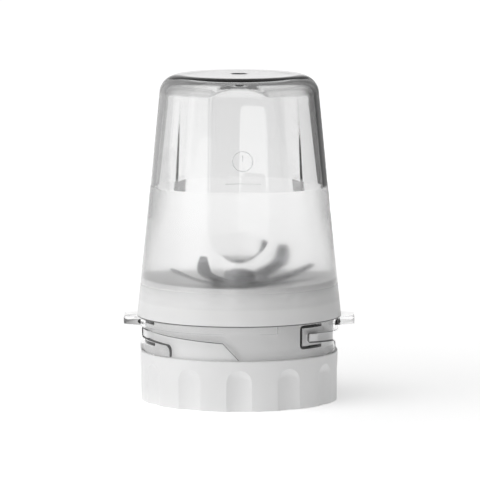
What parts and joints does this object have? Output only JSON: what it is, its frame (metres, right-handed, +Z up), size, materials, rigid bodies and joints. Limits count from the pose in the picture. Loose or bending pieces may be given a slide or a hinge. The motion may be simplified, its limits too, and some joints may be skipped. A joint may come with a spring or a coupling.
{
  "type": "blender mill attachment",
  "caption": "Dry grinding mill attachment: clear inverted beaker with finger grooves, bayonet-locked over a fluted blade unit with a spinning cutter.",
  "frame": {"origin": "centre of the grip collar's bottom face, on the turning axis", "axes": "+Z up along the shaft towards the beaker's closed end, -Y towards the front finger groove"},
  "size_m": [0.1084, 0.0972, 0.1534],
  "materials": {
    "white_plastic": "fine satin moulded white",
    "grey_plastic": "satin moulded light grey",
    "black_plastic": "matt glass-filled black",
    "clear_plastic": "clear polished, frosted on the lower outside",
    "silicone": "translucent white silicone",
    "black_rubber": "matt black rubber",
    "stainless": "brushed and ground stainless steel",
    "plated_steel": "zinc plated",
    "cast_alloy": "die cast, lightly grained",
    "bronze": "oil-filled sintered bronze"
  },
  "bodies": {
    "base": {"grip_collar": "white_plastic", "blade_holder": "white_plastic", "bottom_cover": "grey_plastic", "bearing_housing": "cast_alloy", "housing_gasket": "black_rubber", "upper_bush": "bronze", "lower_bush": "bronze", "shaft_seal": "black_rubber", "seal_cap": "stainless", "cover_screws": "plated_steel", "housing_screws": "plated_steel"},
    "cutter": {"drive_shaft": "stainless", "lower_thrust_washer": "white_plastic", "retaining_clip": "plated_steel", "drive_coupling": "black_plastic", "coupling_insert": "bronze", "upper_thrust_washer": "white_plastic", "low_blade": "stainless", "tip_blade": "stainless", "lock_washer": "plated_steel", "blade_nut": "stainless"},
    "seal": {"sealing_ring": "silicone"},
    "beaker": {"mill_beaker": "clear_plastic"}
  },
  "joints": [
    {"name": "cutter_spin", "type": "hinge", "parent": "base", "child": "cutter", "pos_m": [0, 0, 0.04], "axis": [0, 0, 1], "continuous": true},
    {"name": "beaker_turn", "type": "hinge", "parent": "base", "child": "seal", "pos_m": [0, 0, 0.0425], "axis": [0, 0, 1], "range_deg": [-36, 0]},
    {"name": "beaker_rise", "type": "slide", "parent": "seal", "child": "beaker", "axis": [0, 0, 1], "range_m": [0, 0.0018]}
  ],
  "couplings": [
    {"joint": "beaker_rise", "follows": "beaker_turn", "m_per_rad": -0.0028648}
  ]
}
